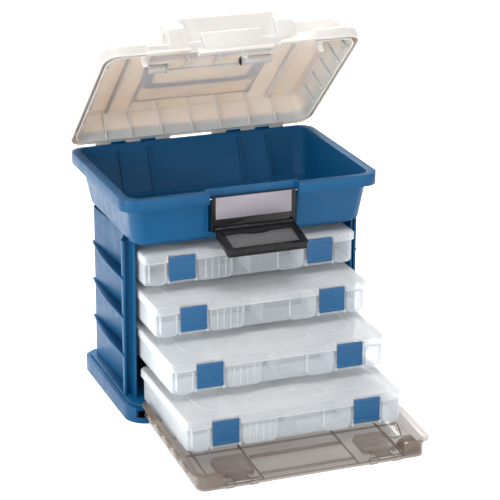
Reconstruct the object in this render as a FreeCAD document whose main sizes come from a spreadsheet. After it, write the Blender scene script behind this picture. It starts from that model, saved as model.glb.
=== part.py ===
import FreeCAD, Part
import math
import os
import re
import Sketcher
from FreeCAD import Placement, Rotation, Vector

# Fishing tackle cabinet: a moulded body with a handled lid over a deep tray and four
# slide-out utility boxes behind a clear drop-down front door.
# Frame: origin at the centre of the base underside, X to the right, -Y to the front, Z up.
# Every box, cylinder and outline below is bound to the sheet, in millimetres and degrees.

SIZES = {
    # base
    "base_out": 23.5, "base_depth": 262, "base_height": 25, "base_front_radius": 35,
    "base_rear_radius": 22, "base_wall": 3, "base_floor": 2.5, "base_ledge": 12,
    "base_ledge_thick": 6, "deck_inset": 6.5, "deck_thick": 5,
    "recess_inset": 11.5, "backing_inset": 20, "recess_depth": 10, "recess_floor": 9,
    # walls of the cabinet
    "bay_headroom": 14.2, "bay_clearance": 4.2, "panel_wall": 3, "flange_front": 92,
    "cove_front": 75, "cove_back": 72, "bead_in": 12.2, "bead_out": 16.3, "bead_front": 78,
    "bead_back": 69, "waist_out": 1, "waist_back": 20, "waist_run": 25, "hip_out": 7,
    "hip_back": 59, "rear_out": 9, "rear_radius": 25, "back_face": 122, "fin_rise": 1.5,
    "fin_thick": 3, "fin_out": 18.5, "fin_bow": 2, "fin_rear_drop": 8, "ledge_lap": 9.8,
    "ledge_thick": 2.5, "ledge_front": 72, "lip_play": 2.2, "lip_thick": 2, "lip_start": 10,
    "lip_height": 6, "back_rib": 3, "back_rib_inset": 10,
    # top tray
    "tray_front_low": 115, "tray_back_low": 128, "tray_out": 8, "tray_bevel": 6,
    "tray_flare": 11.7, "tray_back_flare": 35, "tray_height": 83, "tray_wall": 2.5,
    "tray_radius": 22, "rim_overhang": 23.5, "rim_front": 134, "rim_back": 165, "rim_height": 19,
    "rim_radius": 25, "rim_wall": 2.5, "tray_rib_depth": 4, "tray_rib_thick": 3,
    "tray_rib_foot": 12, "notch_reach": 74, "notch_back": 117, "notch_bottom": 306,
    "cheek_thick": 5,
    # lid and its hinge
    "lid_open": 43, "hinge_back": 168, "hinge_rise": 3, "knuckle_radius": 4.5, "hinge_pin": 2,
    "knuckle_start": 37, "knuckle_width": 25.3, "knuckle_gap": 0.4, "lid_seat_gap": 0.3,
    "lid_depth": 297, "lid_band": 15, "lid_step": 7, "lid_shoulder": 41, "lid_shoulder_in": 11,
    "lid_crown": 48, "lid_crown_in": 7, "lid_wall": 2.5, "lid_radius": 25, "lid_lip": 1.2,
    "raised_reach": 107, "raised_top": 60, "raised_rear": 22, "raised_set": 7,
    "raised_draft": 4, "raised_turn": 5, "pilaster_in": 75, "panel_set": 3.5,
    "band_gap_left": 143, "band_gap_right": 131, "catch_left": 50, "catch_right": 46,
    "catch_in": 2.5, "catch_set": 2.3, "catch_deep": 19, "catch_top": 29,
    "catch_drop": 5.3, "catch_lip": 4, "catch_bar_reach": 62, "lid_rib_thick": 2.4,
    "lid_rib_depth": 4, "tab_drop": 12, "tab_reach": 4, "tab_set": 7.8,
    # carrying handle
    "handle_u": 164, "handle_w": 54, "handle_reach": 95.5, "handle_leg": 12, "handle_end": 76,
    "handle_grip": 16, "handle_thick": 10, "handle_low": 3, "handle_boss": 4.6, "handle_pin": 2.5,
    "bay_reach": 98, "bay_rear": 50, "bay_front": 176, "handle_pin_end": 103.5,
    # tray latch
    "link_reach": 70, "link_front": 129.5, "link_thick": 4, "link_top": 363, "link_bottom": 306,
    "link_pivot": 360, "link_boss": 2.2, "window_reach": 60, "window_low": 331, "window_high": 358,
    "plate_lap": 3, "plate_thick": 2, "small_pin": 1.5, "lever_pivot_y": 132,
    "lever_pivot_z": 311, "lever_droop": 13.5, "lever_reach": 66,
    "lever_start": 5, "lever_low": 10, "lever_high": 2, "lever_rail": 10, "lever_lug": 4,
    "lug_reach": 60, "lug_width": 14, "tongue_reach": 20, "pane_thick": 2, "pane_lap": 2,
    "hook_reach": 38, "hook_rise": 2.2, "hook_width": 4, "hook_play": 0.3, "hook_set": 0.5,
    # utility boxes
    "box_width": 355.6, "box_depth": 231.8, "box_height": 50.8, "box_wall": 1.8,
    "box_radius": 12, "box_lift": 0.3, "front_inset": 6.6, "side_inset": 2.4, "rear_inset": 9.8,
    "skirt_height": 12.8, "skirt_wall": 1.6, "lid_plate": 1.8, "rim_play": 0.3,
    "pod_front": 0.8, "pod_low": 2, "pod_high": 36, "pod_inset": 9.8, "pod_width": 26,
    "latch_inset": 62.3, "latch_width": 42, "latch_slot": 48, "latch_top": 46.5,
    "latch_thick": 3.2, "latch_face": 0.2, "latch_pivot": 9, "latch_knuckle": 3,
    "latch_trunnion": 1.2, "slot_depth": 4,
    "box_hinge_y": 226, "box_hinge_z": 44, "box_knuckle": 2.6, "box_pin": 1.2,
    "divider_thick": 1.5, "divider_height": 40, "divider_play": 0.2, "compartment_rows": 4,
    "box_out_1": 4, "box_out_2": 57, "box_out_3": 131, "box_out_4": 200, "box_home": 120,
    # front door
    "door_tilt": 3.25, "door_axis_y": 127, "door_axis_z": 19.5, "door_length": 262,
    "door_start": 5, "door_out": 1.7, "door_wall": 2.2, "door_low": 4, "door_high": 24,
    "door_flange": 8.8, "door_end_flange": 4, "door_sill": 1, "door_heel": 8, "door_radius": 14,
    "door_gate": 146, "door_knuckle": 4, "door_pin": 2, "ear_near": 150, "ear_width": 8,
    "door_knuckle_width": 8.4, "clasp_axis_y": 264, "clasp_axis_z": 5, "clasp_centre": 116,
    "clasp_width": 56, "clasp_length": 69, "clasp_neck": 25, "clasp_plate": 49,
    "clasp_thick": 4, "clasp_knuckle": 3, "clasp_pin": 1.4, "clasp_span": 52, "clasp_gap": 0.5,
    # fits
    "running_gap": 0.05, "side_gap": 0.6,
}

doc = FreeCAD.newDocument("TackleCabinet")
sheet = doc.addObject("Spreadsheet::Sheet", "Sizes")
for row, (alias, value) in enumerate(SIZES.items(), start=1):
    sheet.set(f"A{row}", alias)
    sheet.set(f"B{row}", str(value))
    sheet.setAlias(f"B{row}", alias)
doc.recompute()

WORD = re.compile(r"[a-z][a-z0-9_]*")
PIECES = []

# Levels and faces that several pieces share, as expressions of the sheet.
BAY = "(box_width / 2 + bay_clearance)"
BAY_PITCH = "(box_height + bay_headroom)"
BASE_HALF = f"({BAY} + base_out)"
TRAY_HALF = f"({BAY} + tray_out)"
RIM_HALF = f"({TRAY_HALF} + rim_overhang)"
WAIST = f"({BAY} + waist_out)"
HIP = f"({BAY} + hip_out)"
REAR = f"({BAY} + rear_out)"
DECK_TOP = "(base_height + deck_thick)"
TRAY_FLOOR = f"({DECK_TOP} + 4 * {BAY_PITCH})"
TRAY_TOP = f"({TRAY_FLOOR} + tray_height)"
HINGE_Z = f"({TRAY_TOP} + hinge_rise)"
RIM_PLANE = "(lid_seat_gap - hinge_rise)"
PANEL_TURN = "(back_face - rear_radius)"
LID_FRONT = "(hinge_back - rim_back + lid_depth)"
RAISED_FRONT = f"({LID_FRONT} - raised_set)"
CATCH_FRONT = f"({LID_FRONT} - catch_in)"
CATCH_BACK = f"({LID_FRONT} - catch_deep)"
LATCH_CENTRE = "(box_width / 2 - latch_inset)"
LEVER_TIP = (f"({HINGE_Z} + {RIM_PLANE} - catch_drop + catch_lip + hook_play + hook_width"
             " + hook_set - lever_pivot_z)")


def bind(thing, prop, text):
    """Tie a property to an expression written with the names in the sheet."""
    def full(found):
        word = found.group()
        return "Sizes." + word if word in SIZES else word
    thing.setExpression(prop, WORD.sub(full, str(text)))


def place(thing, x=0, y=0, z=0):
    for axis, text in zip("xyz", (x, y, z)):
        bind(thing, f"Placement.Base.{axis}", text)
    return thing


def block(name, x0, x1, y0, y1, z0, z1):
    """Box between two corners."""
    box = doc.addObject("Part::Box", name)
    bind(box, "Length", f"({x1}) - ({x0})")
    bind(box, "Width", f"({y1}) - ({y0})")
    bind(box, "Height", f"({z1}) - ({z0})")
    return place(box, x0, y0, z0)


def rod(name, x0, x1, y, z, radius):
    """Cylinder along X."""
    bar = doc.addObject("Part::Cylinder", name)
    bar.Placement = Placement(Vector(), Rotation(Vector(0, 1, 0), 90))
    bind(bar, "Radius", radius)
    bind(bar, "Height", f"({x1}) - ({x0})")
    return place(bar, x0, y, z)


def outline(name, x0, x1, y0, y1, z, radius, rear_radius=None):
    """Rounded rectangle, drawn about its own centre in the plane of height z."""
    sketch = doc.addObject("Sketcher::SketchObject", name)
    half, turn = 50, 5
    flat = half - turn
    corners = [(flat, -flat, 270), (flat, flat, 0), (-flat, flat, 90), (-flat, -flat, 180)]
    sides = [((-flat, -half), (flat, -half)), ((half, -flat), (half, flat)),
             ((flat, half), (-flat, half)), ((-half, flat), (-half, -flat))]
    for start, end in sides:
        sketch.addGeometry(Part.LineSegment(Vector(*start, 0), Vector(*end, 0)))
    for x, y, start in corners:
        circle = Part.Circle(Vector(x, y, 0), Vector(0, 0, 1), turn)
        begin = math.radians(start)
        sketch.addGeometry(Part.ArcOfCircle(circle, begin, begin + math.pi / 2))
    for side in range(4):
        arc = 4 + side
        sketch.addConstraint(Sketcher.Constraint("Tangent", side, 2, arc, 1))
        sketch.addConstraint(Sketcher.Constraint("Tangent", arc, 2, (side + 1) % 4, 1))
    for side, kind in ((1, "Vertical"), (2, "Horizontal"), (3, "Vertical")):
        sketch.addConstraint(Sketcher.Constraint(kind, side))
    sketch.addConstraint(Sketcher.Constraint("Equal", 4, 7))
    sketch.addConstraint(Sketcher.Constraint("Equal", 5, 6))
    sketch.addConstraint(Sketcher.Constraint("Symmetric", 0, 1, 0, 2, -2))
    for key, constraint in (("front_turn", Sketcher.Constraint("Radius", 4, turn)),
                            ("rear_turn", Sketcher.Constraint("Radius", 5, turn)),
                            ("reach", Sketcher.Constraint("DistanceX", 3, 1, 1, 2, 2 * half)),
                            ("front", Sketcher.Constraint("DistanceY", 0, 1, -1, 1, half)),
                            ("rear", Sketcher.Constraint("DistanceY", -1, 1, 2, 1, half))):
        index = sketch.addConstraint(constraint)
        sketch.renameConstraint(index, key)
    bind(sketch, "Constraints.front_turn", radius)
    bind(sketch, "Constraints.rear_turn", rear_radius or radius)
    bind(sketch, "Constraints.reach", f"({x1}) - ({x0})")
    bind(sketch, "Constraints.front", f"(({y1}) - ({y0})) / 2")
    bind(sketch, "Constraints.rear", f"(({y1}) - ({y0})) / 2")
    return place(sketch, f"(({x0}) + ({x1})) / 2", f"(({y0}) + ({y1})) / 2", z)


def prism(name, sketch, length):
    """Straight extrusion of a sketch along its normal."""
    solid = doc.addObject("Part::Extrusion", name)
    solid.Base = sketch
    solid.DirMode = "Normal"
    solid.Solid = True
    bind(solid, "LengthFwd", length)
    return solid


def slab(name, x0, x1, y0, y1, z0, z1, radius, rear_radius=None):
    """Plate with rounded corners in plan."""
    sketch = outline(name + "_outline", x0, x1, y0, y1, z0, radius, rear_radius)
    return prism(name, sketch, f"({z1}) - ({z0})")


def loft(name, *sections):
    """Straight-sided loft through rounded rectangles: (x0, x1, y0, y1, z, radius)."""
    solid = doc.addObject("Part::Loft", name)
    solid.Sections = [outline(f"{name}_{step}", *section) for step, section in enumerate(sections)]
    solid.Solid = True
    solid.Ruled = True
    return solid


def plan(name, points, z, height):
    """Upright wall or plate from a plan polygon."""
    sketch = doc.addObject("Sketcher::SketchObject", name + "_plan")
    count = len(points)
    seeds = [Vector(math.cos(math.tau * i / count), math.sin(math.tau * i / count), 0)
             for i in range(count)]
    for i in range(count):
        sketch.addGeometry(Part.LineSegment(seeds[i], seeds[(i + 1) % count]))
    for i in range(count):
        sketch.addConstraint(Sketcher.Constraint("Coincident", i, 2, (i + 1) % count, 1))
    for i, (x, y) in enumerate(points):
        for kind, text in (("DistanceX", x), ("DistanceY", y)):
            index = sketch.addConstraint(Sketcher.Constraint(kind, -1, 1, i, 1, 1))
            key = f"{kind[-1].lower()}{i}"
            sketch.renameConstraint(index, key)
            bind(sketch, f"Constraints.{key}", text)
    place(sketch, z=z)
    return prism(name, sketch, height)


def join(name, *shapes):
    fused = doc.addObject("Part::MultiFuse", name)
    fused.Shapes = list(shapes)
    return fused


def cut(name, base, *tools):
    tool = tools[0] if len(tools) == 1 else join(name + "_tools", *tools)
    result = doc.addObject("Part::Cut", name)
    result.Base = base
    result.Tool = tool
    return result


def shared(name, base, tool):
    """The part of one shape that lies inside another."""
    overlap = doc.addObject("Part::Common", name)
    overlap.Base = base
    overlap.Tool = tool
    return overlap


def both_sides(name, maker, x0, x1, *rest):
    """The same block or rod on the right and mirrored on the left."""
    return [maker(name + "_right", x0, x1, *rest), maker(name + "_left", f"-({x1})", f"-({x0})", *rest)]


def mirrored(name, source):
    """Left-hand copy of a right-hand shape."""
    copy = doc.addObject("Part::Mirroring", name)
    copy.Source = source
    copy.Normal = Vector(1, 0, 0)
    return copy


def piece(label, thing):
    thing.Label = label
    PIECES.append(thing)
    return thing


def turned(thing, x, y, z, axis, angle):
    """Set a shape modelled about its own pivot in place, turned about that pivot."""
    thing.Placement = Placement(Vector(), Rotation(Vector(axis, 0, 0), 10))
    bind(thing, "Placement.Rotation.Angle", angle)
    return place(thing, x, y, z)


# ---------------------------------------------------------------- base
def base_plinth():
    """Flat tub with a ledge for the deck and a recess for the door hinge."""
    half, deep = BASE_HALF, "base_depth / 2"
    body = slab("plinth_body", f"-{half}", half, f"-{deep}", deep, 0, "base_height",
                "base_front_radius", "base_rear_radius")
    well = slab("plinth_well", f"-{half} + base_wall", f"{half} - base_wall",
                f"-{deep} + base_wall", f"{deep} - base_wall", "base_floor",
                "base_height - base_ledge_thick", "base_front_radius - base_wall",
                "base_rear_radius - base_wall")
    mouth = slab("plinth_mouth", f"-{half} + base_ledge", f"{half} - base_ledge",
                 f"-{deep} + base_ledge", f"{deep} - base_ledge",
                 "base_height - base_ledge_thick - 1", "base_height + 1",
                 "base_front_radius - base_ledge", "base_rear_radius - base_ledge")
    wide = f"({BASE_HALF} - recess_inset)"
    backing = block("recess_backing", f"-{wide} + backing_inset", f"{wide} - backing_inset",
                    f"-{deep} + 1",
                    f"-{deep} + recess_depth + base_wall", "base_floor / 2", "base_height")
    recess = block("hinge_recess", f"-{wide}", wide, f"-{deep} - 1", f"-{deep} + recess_depth",
                   "recess_floor", "base_height + 1")
    shell = cut("plinth_shell", join("plinth_full", cut("plinth_tub", body, well, mouth), backing),
                recess)
    near, far = "ear_near", "(ear_near + ear_width)"
    ears = both_sides("ear_post", block, near, far, f"-{deep}", f"-{deep} + recess_depth + 1",
                      "recess_floor - 1", "door_axis_z")
    ears += both_sides("ear_eye", rod, near, far, "-door_axis_y", "door_axis_z", "door_knuckle")
    holes = both_sides("ear_hole", rod, f"{near} - 1", f"{far} + 1", "-door_axis_y",
                       "door_axis_z", "door_pin + running_gap")
    return cut("plinth", join("plinth_eared", shell, *ears), *holes)


def base_deck():
    """Floor of the lowest bay, resting on the plinth's ledge."""
    half, deep = f"({BASE_HALF} - deck_inset)", "(base_depth / 2 - deck_inset)"
    plate = slab("deck_plate", f"-{half}", half, f"-{deep}", deep, "base_height", DECK_TOP,
                 "base_front_radius - deck_inset", "base_rear_radius - deck_inset")
    front = block("deck_front", f"-{half} - 1", f"{half} + 1", f"-{deep} - 1",
                  "-base_depth / 2 + recess_depth + 1", "base_height - 1", f"{DECK_TOP} + 1")
    return cut("deck", plate, front)


# ---------------------------------------------------------------- cabinet walls
def wall_turn(radius, angle):
    """Point of the wall's rear corner at an angle from straight sideways."""
    centre = f"{REAR} - rear_radius"
    return (f"{centre} + ({radius}) * cos({angle} deg)",
            f"{PANEL_TURN} + ({radius}) * sin({angle} deg)")


def side_panel():
    """Right-hand wall: front post with its bead, waisted side and rear corner."""
    wall = plan("panel_wall_body", [
        (BAY, "-flange_front"), (f"{BAY} + panel_wall", "-flange_front"),
        (f"{BAY} + panel_wall", "-cove_front"), (f"{BAY} + 2 * panel_wall", "-cove_back"),
        (f"{BAY} + bead_in", "-cove_back"), (f"{BAY} + bead_in", "-bead_front"),
        (f"{BAY} + bead_out", "-bead_front"), (f"{BAY} + bead_out", "-bead_back"),
        (f"{WAIST} + panel_wall", "-waist_back - waist_run"), (WAIST, "-waist_back"),
        (HIP, "hip_back"), (REAR, PANEL_TURN), (f"{REAR} - panel_wall", PANEL_TURN),
        (f"{HIP} - panel_wall", "hip_back"), (f"{WAIST} - panel_wall", "-waist_back"),
        (BAY, "-waist_back - waist_run"),
    ], DECK_TOP, f"4 * {BAY_PITCH}")
    quarters = []
    for name, radius in (("corner_outer", "rear_radius"),
                         ("corner_inner", "rear_radius - panel_wall")):
        quarter = doc.addObject("Part::Cylinder", name)
        quarter.Angle = 90
        bind(quarter, "Radius", radius)
        bind(quarter, "Height", f"4 * {BAY_PITCH}")
        quarters.append(place(quarter, f"{REAR} - rear_radius", PANEL_TURN, DECK_TOP))
    return join("panel", wall, cut("panel_corner", *quarters))


def side_fins():
    """Three outer fins that follow the right-hand wall, one at each shelf."""
    tip = f"{BAY} + fin_out"
    fins = doc.addObject("Part::Compound", "fin_set")
    fins.Links = [plan(f"fin_{level}", [
        wall_turn("rear_radius", 30), (REAR, f"{PANEL_TURN} + rear_radius * tan(15 deg)"),
        (REAR, PANEL_TURN), (HIP, "hip_back"), (WAIST, "-waist_back"),
        (f"{WAIST} + panel_wall", "-waist_back - waist_run"),
        (f"{BAY} + bead_out", "-bead_back"), (f"{BAY} + bead_out", "-bead_front + 1"),
        (tip, "-bead_front + 1"), (f"{tip} + fin_bow", "-waist_back"),
        (f"{tip} + fin_bow / 2", "hip_back / 2"), (f"{tip} - fin_bow", "hip_back + fin_rear_drop"),
        (f"{tip} - fin_rear_drop", f"{PANEL_TURN} + rear_radius / 2")],
        f"{DECK_TOP} + {level} * {BAY_PITCH} + fin_rise", "fin_thick") for level in (1, 2, 3)]
    return fins


def shelf_rails():
    """Right-hand ledges that the boxes slide on, each with a lip beside the box."""
    rails = []
    edge = "(box_width / 2 - ledge_lap)"
    lip = "(box_width / 2 + lip_play)"
    inside = "rear_radius - panel_wall"
    for level in (1, 2, 3, 4):
        height = f"{DECK_TOP} + {level} * {BAY_PITCH}"
        rails.append(plan(f"ledge_{level}", [
            (edge, "-ledge_front"), (BAY, "-ledge_front"), (BAY, "-waist_back - waist_run"),
            (f"{WAIST} - panel_wall", "-waist_back"), (f"{HIP} - panel_wall", "hip_back"),
            (f"{REAR} - panel_wall", PANEL_TURN), wall_turn(inside, 30), wall_turn(inside, 60),
            (edge, f"{PANEL_TURN} + {inside} - 0.2")],
            f"{height} - ledge_thick", "ledge_thick"))
        if level < 4:
            rails.append(block(f"guide_lip_{level}", lip, f"{lip} + lip_thick", "lip_start",
                               PANEL_TURN, height, f"{height} + lip_height"))
    rail_set = doc.addObject("Part::Compound", "rail_set")
    rail_set.Links = rails
    return rail_set


def back_panel():
    """Back sheet between the two rear corners, stiffened by a rib at each shelf."""
    reach = f"({REAR} - rear_radius)"
    skin = block("back_sheet", f"-{reach}", reach, "back_face - panel_wall", "back_face",
                 DECK_TOP, TRAY_FLOOR)
    ribs = [block(f"back_rib_{level}", f"-{reach} + back_rib_inset", f"{reach} - back_rib_inset",
                  "back_face - 1", "back_face + back_rib",
                  f"{DECK_TOP} + {level} * {BAY_PITCH} + fin_rise",
                  f"{DECK_TOP} + {level} * {BAY_PITCH} + fin_rise + fin_thick")
            for level in (1, 2, 3)]
    return join("back", skin, *ribs)


# ---------------------------------------------------------------- top tray
TRAY_RIB_PLACES = ("-130", "-79", "80", "131")


def knuckle_spans():
    """X spans of the lid's and the tray's hinge knuckles, on the right-hand side."""
    pitch = "(knuckle_width + side_gap)"
    return [("lid" if step % 2 == 0 else "tray", f"knuckle_start + {step} * {pitch}",
             f"knuckle_start + {step} * {pitch} + knuckle_width") for step in range(5)]


def basin(name, inset, floor, top):
    """Tapered basin of the tray, inset from its outer faces, from floor level to top level."""
    wide, front, back = TRAY_HALF, "tray_front_low", "tray_back_low"

    def level(shift, spread, z):
        side = f"{wide} - ({inset}) - ({shift}) + {spread} * tray_flare"
        return (f"-({side})", side, f"-({front} - ({inset}) - ({shift}) + {spread} * tray_flare)",
                f"{back} - ({inset}) - ({shift}) + {spread} * tray_back_flare", z,
                f"tray_radius - ({inset})")
    return loft(name, level("tray_bevel", 0, floor), level("0", 0.07, f"{floor} + tray_bevel"),
                level("0", 1, top))


def top_tray():
    """Deep tray with a hollow rim, a notch for the latch and its half of the lid hinge."""
    rim = RIM_HALF
    outer = basin("basin_outer", "0", TRAY_FLOOR, TRAY_TOP)
    band = slab("rim_band", f"-{rim}", rim, "-rim_front", "rim_back", f"{TRAY_TOP} - rim_height",
                TRAY_TOP, "rim_radius")
    inner = basin("basin_inner", "tray_wall", f"{TRAY_FLOOR} + tray_wall", f"{TRAY_TOP} + 0.5")
    skirt = slab("skirt_void", f"-{rim} + rim_wall", f"{rim} - rim_wall", "-rim_front + rim_wall",
                 "rim_back - rim_wall", f"{TRAY_TOP} - rim_height - 1", f"{TRAY_TOP} - rim_wall",
                 "rim_radius - rim_wall")
    shell = cut("tray_shell", join("tray_walls", cut("rim_skirt", band, skirt), outer), inner)

    front = "(tray_front_low + tray_flare)"
    notch_wall = block("notch_wall", "-notch_reach - rim_wall", "notch_reach + rim_wall",
                       "-rim_front + 1", "-notch_back + tray_wall", "notch_bottom - tray_wall",
                       TRAY_TOP)
    cheeks = both_sides("notch_cheek", block, "notch_reach", "notch_reach + cheek_thick",
                        "-rim_front", f"-{front} + tray_wall / 2",
                        f"{TRAY_TOP} - rim_height", TRAY_TOP)
    notch = block("latch_notch", "-notch_reach", "notch_reach", "-rim_front - 1", "-notch_back",
                  "notch_bottom", f"{TRAY_TOP} + 1")
    below = block("notch_below", "-notch_reach - 10", "notch_reach + 10", "-rim_front - 1",
                  f"-{front} + tray_flare * rim_height / tray_height", "notch_bottom - 10",
                  f"{TRAY_TOP} - rim_height")
    pin_holes = both_sides("link_pin_hole", rod, "notch_reach - 1", "notch_reach + cheek_thick + 1",
                           "-link_front + link_thick / 2", "link_pivot",
                           "small_pin + running_gap")
    solid = cut("tray_notched", join("tray_notch_stock", shell,
                                     cut("notch_walls", notch_wall, below), *cheeks),
                notch, *pin_holes)

    parts = [solid]
    inner_back = "(tray_back_low + tray_back_flare * 0.9 - tray_wall)"
    for step, x in enumerate(TRAY_RIB_PLACES):
        parts.append(block(f"back_wall_rib_{step}", f"{x} - tray_rib_thick / 2",
                           f"{x} + tray_rib_thick / 2", "tray_back_low - tray_rib_foot", inner_back,
                           f"{TRAY_FLOOR} + tray_wall / 2", f"{TRAY_TOP} - 8"))
    ribs = cut("tray_ribs", join("tray_rib_stock", *parts[1:]),
               basin("rib_trim", "tray_wall + tray_rib_depth", f"{TRAY_FLOOR} + tray_wall + 1",
                     f"{TRAY_TOP} + 2"))
    ribs = shared("tray_ribs_in", ribs, basin("rib_limit", "tray_wall / 2", TRAY_FLOOR,
                                              f"{TRAY_TOP} + 1"))

    reliefs, knuckles, holes = [], [], []
    for step, (owner, x0, x1) in enumerate(knuckle_spans()):
        axis = ("hinge_back", HINGE_Z)
        if owner == "lid":
            reliefs += both_sides(f"tray_relief_{step}", rod, f"{x0} - side_gap / 2",
                                  f"{x1} + side_gap / 2", *axis, "knuckle_radius + knuckle_gap")
        else:
            knuckles += both_sides(f"tray_knuckle_{step}", rod, x0, x1, *axis, "knuckle_radius")
            knuckles += both_sides(f"tray_arm_{step}", block, x0, x1, "rim_back - rim_wall",
                                   "hinge_back + rim_wall", f"{TRAY_TOP} - 7", TRAY_TOP)
            holes += both_sides(f"tray_bore_{step}", rod, f"{x0} - 1", f"{x1} + 1", *axis,
                                "hinge_pin + running_gap")
    relieved = cut("tray_relieved", solid, *reliefs)
    return cut("tray", join("tray_hinged", relieved, ribs, *knuckles), *holes)


# ---------------------------------------------------------------- lid
LID_RIB_PLACES = ("-150", "-107", "-54", "0", "50", "102", "149")
LID_TAB_PLACES = ("-147", "17", "144")


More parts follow.
